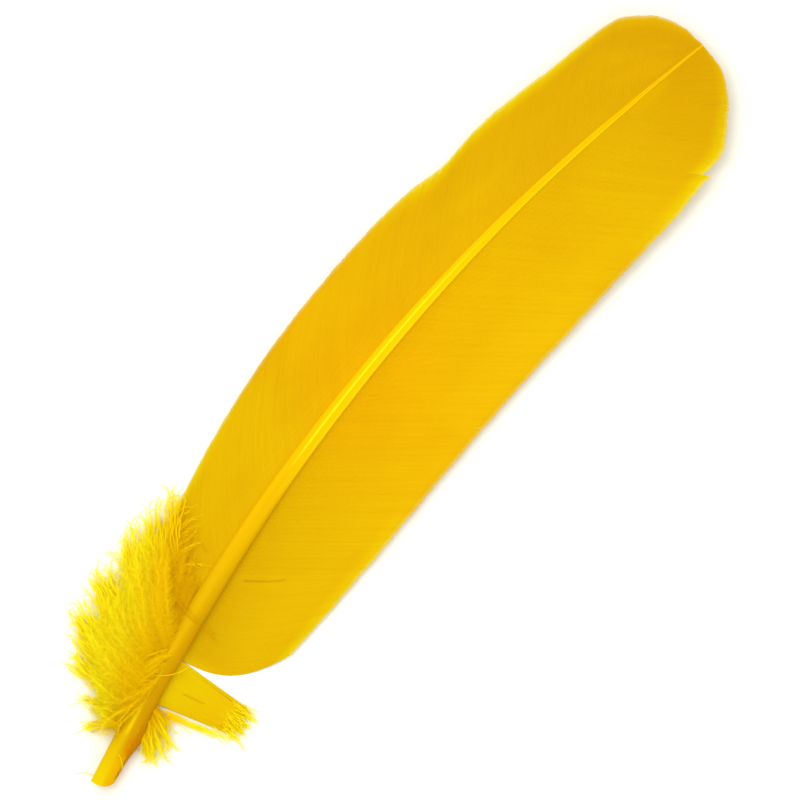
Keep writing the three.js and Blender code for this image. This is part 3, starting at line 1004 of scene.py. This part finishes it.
# Painted light: further on, both flanks are painted lighter, the far one against its shade.
near_flank_light = h.ramp(side, 0.4, 1.0) * h.ramp(along, 0.2, 0.4)
colour = h.blend(near_flank_light * 0.8, colour, dye(238, 188, 0))
far_flank_light = h.ramp(side, -0.4, -0.85) * h.ramp(along, 0.32, 0.46)
colour = h.blend(far_flank_light, colour, dye(255, 220, 0))
# Painted shade: near the base the far half, turned from the light, is painted darker.
low_flank_shade = h.ramp(side, 0.25, -0.45) * h.ramp(along, 0.02, 0.05) * (1 - h.ramp(along, 0.08, 0.34))
colour = h.blend(low_flank_shade, colour, dye(195, 143, 0))
# Painted highlight: a light streak along the crest of the shaft, in two stretches.
highlight_far = h.ramp(along, 0.37, 0.43) * (1 - h.ramp(along, 0.6, 0.76))
highlight_near = h.ramp(along, 0.055, 0.07) * (1 - h.ramp(along, 0.12, 0.17))
highlight_along = highlight_far + highlight_near * 0.4
highlight_across = h.ramp(side, -0.08, 0.04) * (1 - h.ramp(side, 0.2, 0.36))
colour = h.blend(highlight_along * highlight_across, colour, dye(255, 224, 14))
fibres = h.noise(h.vector(along * 8, side * 6), 1.0, 4.0)
colour = h.blend((fibres - 0.5) * 0.9, colour, dye(204, 152, 0))
flakes = h.noise(h.node("ShaderNodeTexCoord", output=3), 800.0, 5.0)
low_side = side + flakes * 0.3 - h.ramp(along, 0.03, 0.05) * 0.2
brown_along = (1 - h.ramp(along, 0.06, 0.1)) * h.ramp(along, 0.006, 0.015)
brown = brown_along * h.ramp(low_side, -0.55, -0.75)
cut_rim = h.ramp(side, 0.1, -0.4) * (1 - h.ramp(along, 0.02, 0.05))
colour = h.blend(cut_rim * 0.9, colour, dye(222, 166, 0))
rust_along = h.ramp(along, 0.034, 0.044) * (1 - h.ramp(along, 0.05, 0.068))
rust = rust_along * h.ramp(side + flakes * 1.1, 0.4, 0.0)
colour = h.blend(rust * 0.7, colour, dye(208, 120, 0))
colour = h.blend(brown * 0.9, colour, dye(184, 120, 0))
h.feed(h.shader.inputs["Base Color"], colour)
h.feed(h.shader.inputs["Roughness"], 0.42 + fibres * 0.15)
h.shader.inputs["Specular IOR Level"].default_value = 0.02
h.bump(fibres, 0.2, 0.0003)
wear([tube], shaft_paint)

# %% Down finish
down_paint = Paint("dyed_down_with_painted_shade")
d = down_paint
outward, strand = d.number("outward"), d.number("strand")
colour = d.blend(d.ramp(outward, 0.2, 0.95), dye(247, 208, 0), dye(255, 247, 26))
colour = d.blend(strand, colour, dye(238, 188, 0))
# The darkest colour is for the dull barbs, most of which are painted shade in slits and gaps.
colour = d.blend(d.ramp(strand, 1.0, 1.2), colour, dye(200, 146, 0))
d.feed(d.shader.inputs["Base Color"], colour)
d.feed(d.shader.inputs["Roughness"], 0.6 + strand * 0.2)
d.shader.inputs["Specular IOR Level"].default_value = 0.04
wear([p for p in pieces if p.get("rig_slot") == "down"], down_paint)

# %% [markdown]
# ## Table and light
# The quill lies on a sheet of white paper. One large soft light from the upper left of the
# picture and even light all round leave only a faint shadow beside it.

# %% Table
TABLE_SIZE = 4
PAPER_WHITE = (0.93, 0.93, 0.92, 1)
for spare in (barb, plume, wisp):
    bpy.data.objects.remove(spare)
table_top = primitive(bpy.ops.mesh.primitive_plane_add, "table", size=TABLE_SIZE)
table_paint = Paint("white_paper")
table_paint.shader.inputs["Base Color"].default_value = PAPER_WHITE
table_paint.shader.inputs["Roughness"].default_value = 0.9
table_paint.shader.inputs["Specular IOR Level"].default_value = 0.0
wear([table_top], table_paint)

# %% Light
ROOM_COLOUR, ROOM_STRENGTH = (1, 0.97, 0.86, 1), 1.04
KEY_PLACE, KEY_WIDTH = (0.06, 0.5, 1.1), 0.9
KEY_COLOUR, KEY_WATTS = (0.92, 0.97, 1.0), 6
world = bpy.data.worlds.new("room")
world.use_nodes = True
background = world.node_tree.nodes["Background"]
background.inputs["Color"].default_value = ROOM_COLOUR
background.inputs["Strength"].default_value = ROOM_STRENGTH
bpy.context.scene.world = world
bpy.ops.object.light_add(type="AREA", location=KEY_PLACE)
key = bpy.context.object
key.name = "key_light"
key.data.shape = "DISK"
key.data.size = KEY_WIDTH
key.data.energy = KEY_WATTS
key.data.color = KEY_COLOUR
key.rotation_euler = (-Vector(KEY_PLACE)).to_track_quat("-Z", "Y").to_euler()
